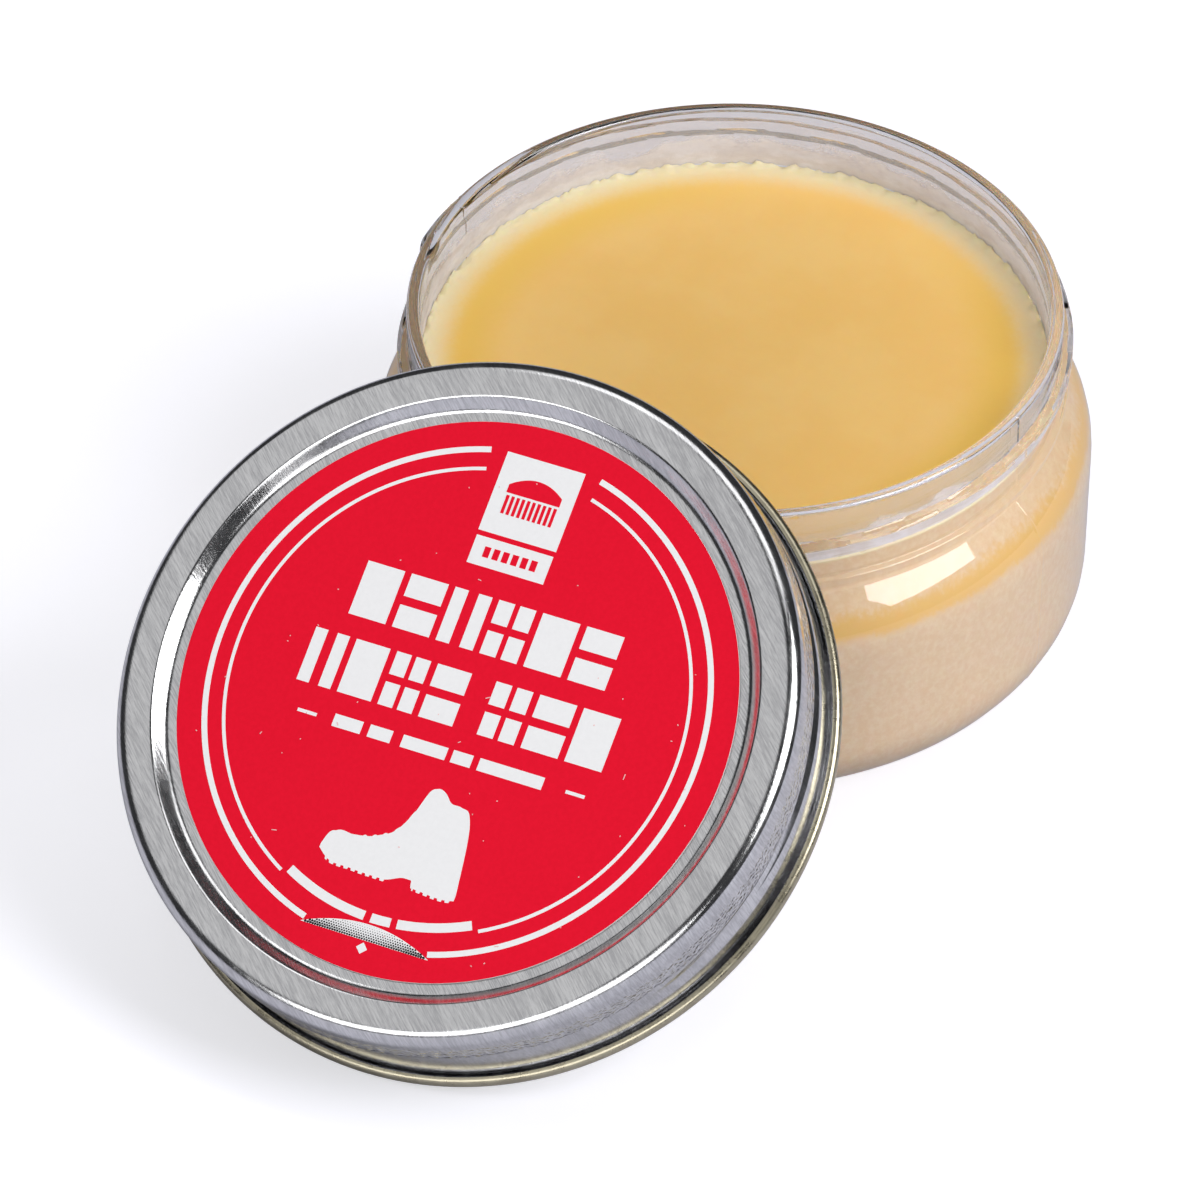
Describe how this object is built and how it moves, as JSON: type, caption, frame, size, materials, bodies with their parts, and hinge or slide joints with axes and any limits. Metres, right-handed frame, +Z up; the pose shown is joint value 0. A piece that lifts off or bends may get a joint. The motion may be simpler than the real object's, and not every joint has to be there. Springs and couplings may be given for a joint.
{
  "type": "shoe polish jar",
  "caption": "Low round screw jar of shoe wax, open, with its pressed metal screw lid leaning against the rim and a peel-open label on the lid.",
  "frame": {"origin": "the jar's axis at the table, in the plane of its foot ring", "axes": "+Z up along the jar's axis; the lid leans against the rim on the -Y side; the row's X axis runs across the lean"},
  "size_m": [0.0736, 0.1253, 0.0505],
  "materials": {
    "clear_pet": "clear moulded PET, glossy, faint parting line",
    "wax": "soft cast wax, satin",
    "tinplate": "brushed tinplate, clear lacquer",
    "foam": "fine closed-cell foam",
    "label_film": "printed film, satin",
    "label_glue_ply": "plain white ply"
  },
  "bodies": {
    "jar": {"jar_body": "clear_pet", "wax_fill": "wax"},
    "liner": {"lid_liner": "foam"},
    "lid": {"lid_shell": "tinplate", "label_base": "label_glue_ply"},
    "label_flap": {"label_top": "label_film"}
  },
  "joints": [
    {"name": "lid_lift", "type": "slide", "parent": "jar", "child": "liner", "axis": [0, -0.5686, 0.8226], "range_m": [0, 0.08]},
    {"name": "lid_turn", "type": "hinge", "parent": "liner", "child": "lid", "pos_m": [0, -0.0528, 0.02032], "axis": [0, -0.5686, 0.8226], "continuous": true},
    {"name": "label_peel", "type": "hinge", "parent": "lid", "child": "label_flap", "pos_m": [-0.00101, -0.03814, 0.04551], "axis": [-0.9993, -0.0316, -0.0218], "range_deg": [0, 120]}
  ]
}
